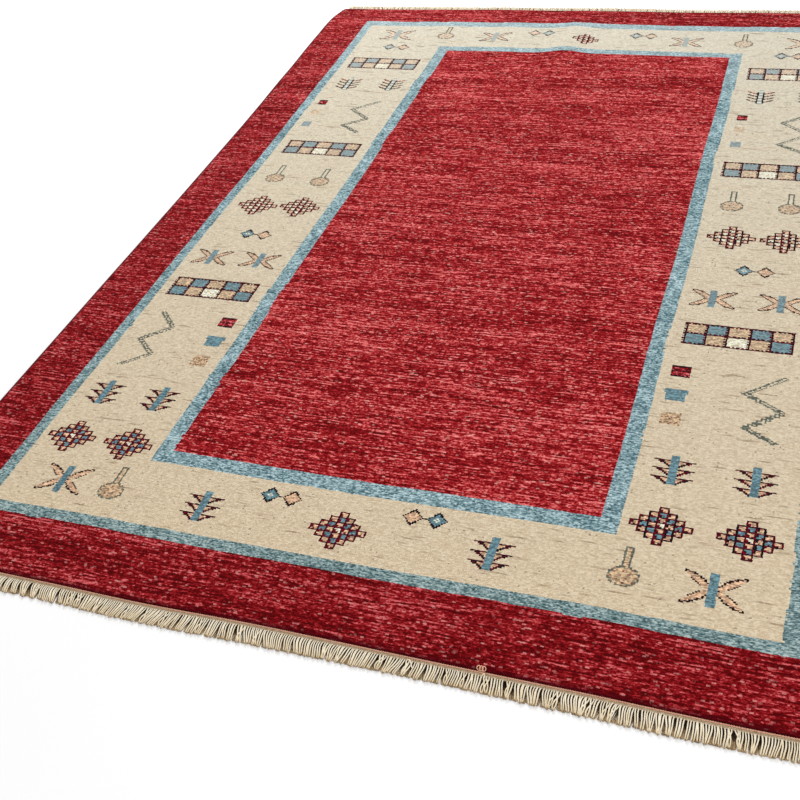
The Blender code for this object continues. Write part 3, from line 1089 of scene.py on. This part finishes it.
def fringe_nodes():
    """The node group that sets a loop on each point and joins them into one mesh."""
    group = bpy.data.node_groups.new("fringe", "GeometryNodeTree")
    for name, form in (
        ("Points", "Geometry"), ("Lean Spread", "Float"), ("Width Spread", "Float"),
        ("Seed", "Int"),
    ):
        group.interface.new_socket(name, in_out="INPUT", socket_type="NodeSocket" + form)
    group.interface.new_socket("Fringe", in_out="OUTPUT", socket_type="NodeSocketGeometry")
    given = add_node(group, "NodeGroupInput", {}, {}, "Points")

    def own(name, form="FLOAT"):
        settings = {"data_type": form}
        return add_node(group, "GeometryNodeInputNamedAttribute", settings, {"Name": name})

    def chance(reach, seed):
        fed = {2: -reach, 3: reach, "Seed": seed}
        return add_node(group, "FunctionNodeRandomValue", {"data_type": "FLOAT"}, fed, 1)

    seed = given.beside("Seed")
    lean = own("lean") + own("free") * chance(given.beside("Lean Spread"), seed)
    wide = 1.0 + chance(given.beside("Width Spread"), seed + 1.0)
    turn = add_node(group, "ShaderNodeCombineXYZ", {}, {"Z": lean})
    size = add_node(group, "ShaderNodeCombineXYZ", {}, {
        "X": wide, "Y": own("long"), "Z": own("high"),
    })
    kinds = add_node(group, "GeometryNodeCollectionInfo", {}, {
        "Collection": box_of_loops, "Separate Children": True, "Reset Children": True,
    })
    placed = add_node(group, "GeometryNodeInstanceOnPoints", {}, {
        "Points": given, "Instance": kinds, "Pick Instance": True,
        "Instance Index": own("kind", "INT"), "Scale": size,
        "Rotation": add_node(group, "FunctionNodeEulerToRotation", {}, {"Euler": turn}),
    })
    joined = add_node(group, "GeometryNodeRealizeInstances", {}, {"Geometry": placed})
    smooth = add_node(group, "GeometryNodeSetShadeSmooth", {}, {"Geometry": joined})
    painted = add_node(group, "GeometryNodeSetMaterial", {}, {
        "Geometry": smooth, "Material": warp_cotton,
    })
    group.links.new(painted.socket, group.nodes.new("NodeGroupOutput").inputs["Fringe"])
    return group


fringe_group = fringe_nodes()


def make_fringe(node, edge, outward, seed):
    """Sets out the points of one end's loops, each with its own lean, length and
    kind, and grows the fringe on them."""
    rng = random.Random(seed)
    west, east = LEFT + SIDE_CLEAR, RIGHT - SIDE_CLEAR
    spots, kind = [], []
    own = {"lean": [], "free": [], "long": [], "high": []}
    for upper, pitch in ((True, LOOP_PITCH), (False, UNDER_PITCH)):
        count = int((east - west) / pitch)
        for n in range(count):
            off = rng.uniform(-OFF_PITCH, OFF_PITCH)
            x = west + (east - west) * (n + 0.5 + off) / count
            y = float(edge(x)) + outward * (CORD_GAP + BAND_DEEP - LOOP_TUCKED)
            spots.append((x, y, 0.0))
            lean = 0.13 * math.sin(17.0 * x + seed) + 0.05 * math.sin(59.0 * x + 2.3 * seed)
            own["lean"].append(lean - 0.03 + (0.0 if outward > 0 else math.pi))
            own["free"].append(1.0 if upper else UNDER_FREE)
            own["long"].append(1.0 + 0.05 * math.sin(9.0 * x + seed) + rng.uniform(-0.05, 0.05))
            own["high"].append(1.0 if upper else UNDER_HIGH)
            share = 0.5 + 0.5 * math.sin(13.0 * x + 1.7 * seed) + rng.gauss(0.0, 0.10)
            swept = min(max(int(share * (LOOP_KINDS - 1)), 0), LOOP_KINDS - 2)
            if rng.random() < CROSSED_SHARE:
                swept = LOOP_KINDS - 1
            kind.append(swept if upper else LOOP_KINDS + rng.randrange(UNDER_KINDS))
    mesh = bpy.data.meshes.new(node)
    mesh.from_pydata(spots, [], [])
    for name, values in own.items():
        mesh.attributes.new(name, "FLOAT", "POINT").data.foreach_set("value", values)
    mesh.attributes.new("kind", "INT", "POINT").data.foreach_set("value", kind)
    maker = bpy.data.objects.new(node, mesh)
    modifier = maker.modifiers.new("fringe", "NODES")
    modifier.node_group = fringe_group
    sizes = {"Lean Spread": LEAN_SPREAD, "Width Spread": WIDTH_SPREAD, "Seed": seed}
    for socket in fringe_group.interface.items_tree:
        if socket.name in sizes:
            modifier[socket.identifier] = sizes[socket.name]
    bpy.context.scene.collection.objects.link(maker)
    bpy.context.view_layer.update()
    seen = maker.evaluated_get(bpy.context.evaluated_depsgraph_get())
    loops_mesh = bpy.data.meshes.new_from_object(seen)
    bpy.data.objects.remove(maker)
    bm = bmesh.new()
    bm.from_mesh(loops_mesh)
    bmesh.ops.recalc_face_normals(bm, faces=bm.faces)
    for vert in bm.verts:
        vert.co.z = max(vert.co.z, LOOP_LOWEST)
    bm.to_mesh(loops_mesh)
    bm.free()
    return piece_from("loops_" + node, loops_mesh, warp_cotton, node)


fringes = [
    make_fringe("fringe_near", near_edge, -1.0, 3),
    make_fringe("fringe_far", far_edge, 1.0, 8),
]
for loop in list(box_of_loops.objects):
    bpy.data.objects.remove(loop)
bpy.data.collections.remove(box_of_loops)


# Loose yarns at the near end: a few turns of the twined yarn that have sprung up
# over the rim of the pile, and two fringe loops that arch over the band.
WEFT_ROUND = 0.00078
COIL_TURNS = 2.7
COIL_STEPS = 56
COIL_AT = 0.2880
COIL_LONG = 0.0110
COIL_ROUND = 0.0038
ARCH_ROUND = 0.0009
ARCH_FOOT = 0.0034
ARCH_BOW = 0.0035
ARCH_STEPS = 12


def over_rim(x, angle, away):
    """A point at x, and at an angle up the round near rim, a little off its wool."""
    reach = RIM_ROUND + away
    y = float(near_edge(x)) + RIM_ROUND - reach * math.cos(angle)
    return Vector((x, y, PILE_HIGH - RIM_ROUND + reach * math.sin(angle)))


coil = []
for n in range(COIL_STEPS + 1):
    turn = TURN * COIL_TURNS * n / COIL_STEPS
    x = COIL_AT + COIL_LONG * n / COIL_STEPS + COIL_ROUND * math.cos(turn)
    coil.append(over_rim(x, math.radians(30.0 + 34.0 * math.sin(turn)), 0.0007))
loose_weft = piece_from(
    "loose_weft", yarn_along("loose_weft", coil, WEFT_ROUND, [0.0] * len(coil)), twined_yarn,
    None,
)


def arch(west, east, rise, reach, name):
    """A loop that leaves the band, arches sideways and comes down among the fringe."""
    path = []
    for n in range(ARCH_STEPS + 1):
        share = n / ARCH_STEPS
        x = west + (east - west) * share
        bow = math.sin(math.pi * share)
        y = float(near_edge(x)) - BAND_DEEP - reach * share + ARCH_BOW * bow
        path.append(Vector((x, y, ARCH_FOOT + rise * bow)))
    mesh = yarn_along(name, path, ARCH_ROUND, [0.05] * len(path))
    return piece_from(name, mesh, warp_cotton, None)


loose = [
    loose_weft, arch(0.1775, 0.1895, 0.0035, 0.0120, "loose_warp_1"),
    arch(0.2960, 0.3010, 0.0030, 0.0030, "loose_warp_2"),
]


# The floor: a plain pale studio floor that the rug lies on, dropped a little so that
# the two are parted.  It isn't a piece of the rug.
FLOOR_DROP = 0.0004
FLOOR_HALF = 7.0

cloth = Cloth("studio_floor", roughness=0.75)
soft = cloth.noise(cloth.object_point(), scale=1.5, detail=2.0)
floor_tone = cloth.tones(soft, [(0.3, (0.96, 0.96, 0.96)), (0.7, (0.98, 0.98, 0.98))])
floor_paint = cloth.finish(floor_tone, soft, distance=0.0001)
bm = bmesh.new()
below = Matrix.Translation((0.0, 0.0, -FLOOR_DROP))
bmesh.ops.create_grid(bm, x_segments=8, y_segments=8, size=FLOOR_HALF, matrix=below)
floor_mesh = bpy.data.meshes.new("floor")
bm.to_mesh(floor_mesh)
bm.free()
floor_mesh.materials.append(floor_paint)
floor = bpy.data.objects.new("floor", floor_mesh)
bpy.context.scene.collection.objects.link(floor)


# The light: an even white room, with one wide soft lamp from the far left that
# brings out the pile and the ripples, and a weaker one from the near right.
ROOM_LIGHT = 0.72

world = bpy.data.worlds.new("studio")
world.use_nodes = True
world.node_tree.nodes["Background"].inputs["Color"].default_value = (1.0, 1.0, 1.0, 1.0)
world.node_tree.nodes["Background"].inputs["Strength"].default_value = ROOM_LIGHT
bpy.context.scene.world = world


def add_lamp(name, place, aim, size, power):
    light = bpy.data.lights.new(name, "AREA")
    light.shape = "DISK"
    light.size = size
    light.energy = power
    lamp = bpy.data.objects.new(name, light)
    lamp.location = place
    lamp.rotation_euler = (Vector(aim) - Vector(place)).to_track_quat("-Z", "Y").to_euler()
    bpy.context.scene.collection.objects.link(lamp)


add_lamp("key", (-1.4, 3.3, 2.5), (0.0, 0.4, 0.0), 1.6, 105.0)
add_lamp("fill", (2.5, -2.5, 3.2), (0.0, 0.0, 0.0), 2.5, 45.0)


# The camera: set from the rug's straight lines in the photograph, 40 degrees down
# onto the rug and rolled, so that its length runs to the upper right.
CAMERA_AT = (0.6805, -2.1676, 1.4252)
CAMERA_RIGHT = Vector((0.938951, 0.321938, -0.121352))
CAMERA_DOWN = Vector((0.122415, -0.642249, -0.756659))
CAMERA_AHEAD = Vector((-0.321536, 0.695609, -0.642450))
SENSOR_WIDE = 36.0
FOCAL_LENGTH = 51.73
lens = bpy.data.cameras.new("camera")
lens.sensor_width = SENSOR_WIDE
lens.lens = FOCAL_LENGTH
camera = bpy.data.objects.new("camera", lens)
axes = Matrix((CAMERA_RIGHT, -CAMERA_DOWN, -CAMERA_AHEAD)).transposed()
camera.matrix_world = Matrix.Translation(CAMERA_AT) @ axes.to_4x4()
bpy.context.scene.collection.objects.link(camera)
bpy.context.scene.camera = camera
bpy.context.scene.view_settings.view_transform = "Standard"
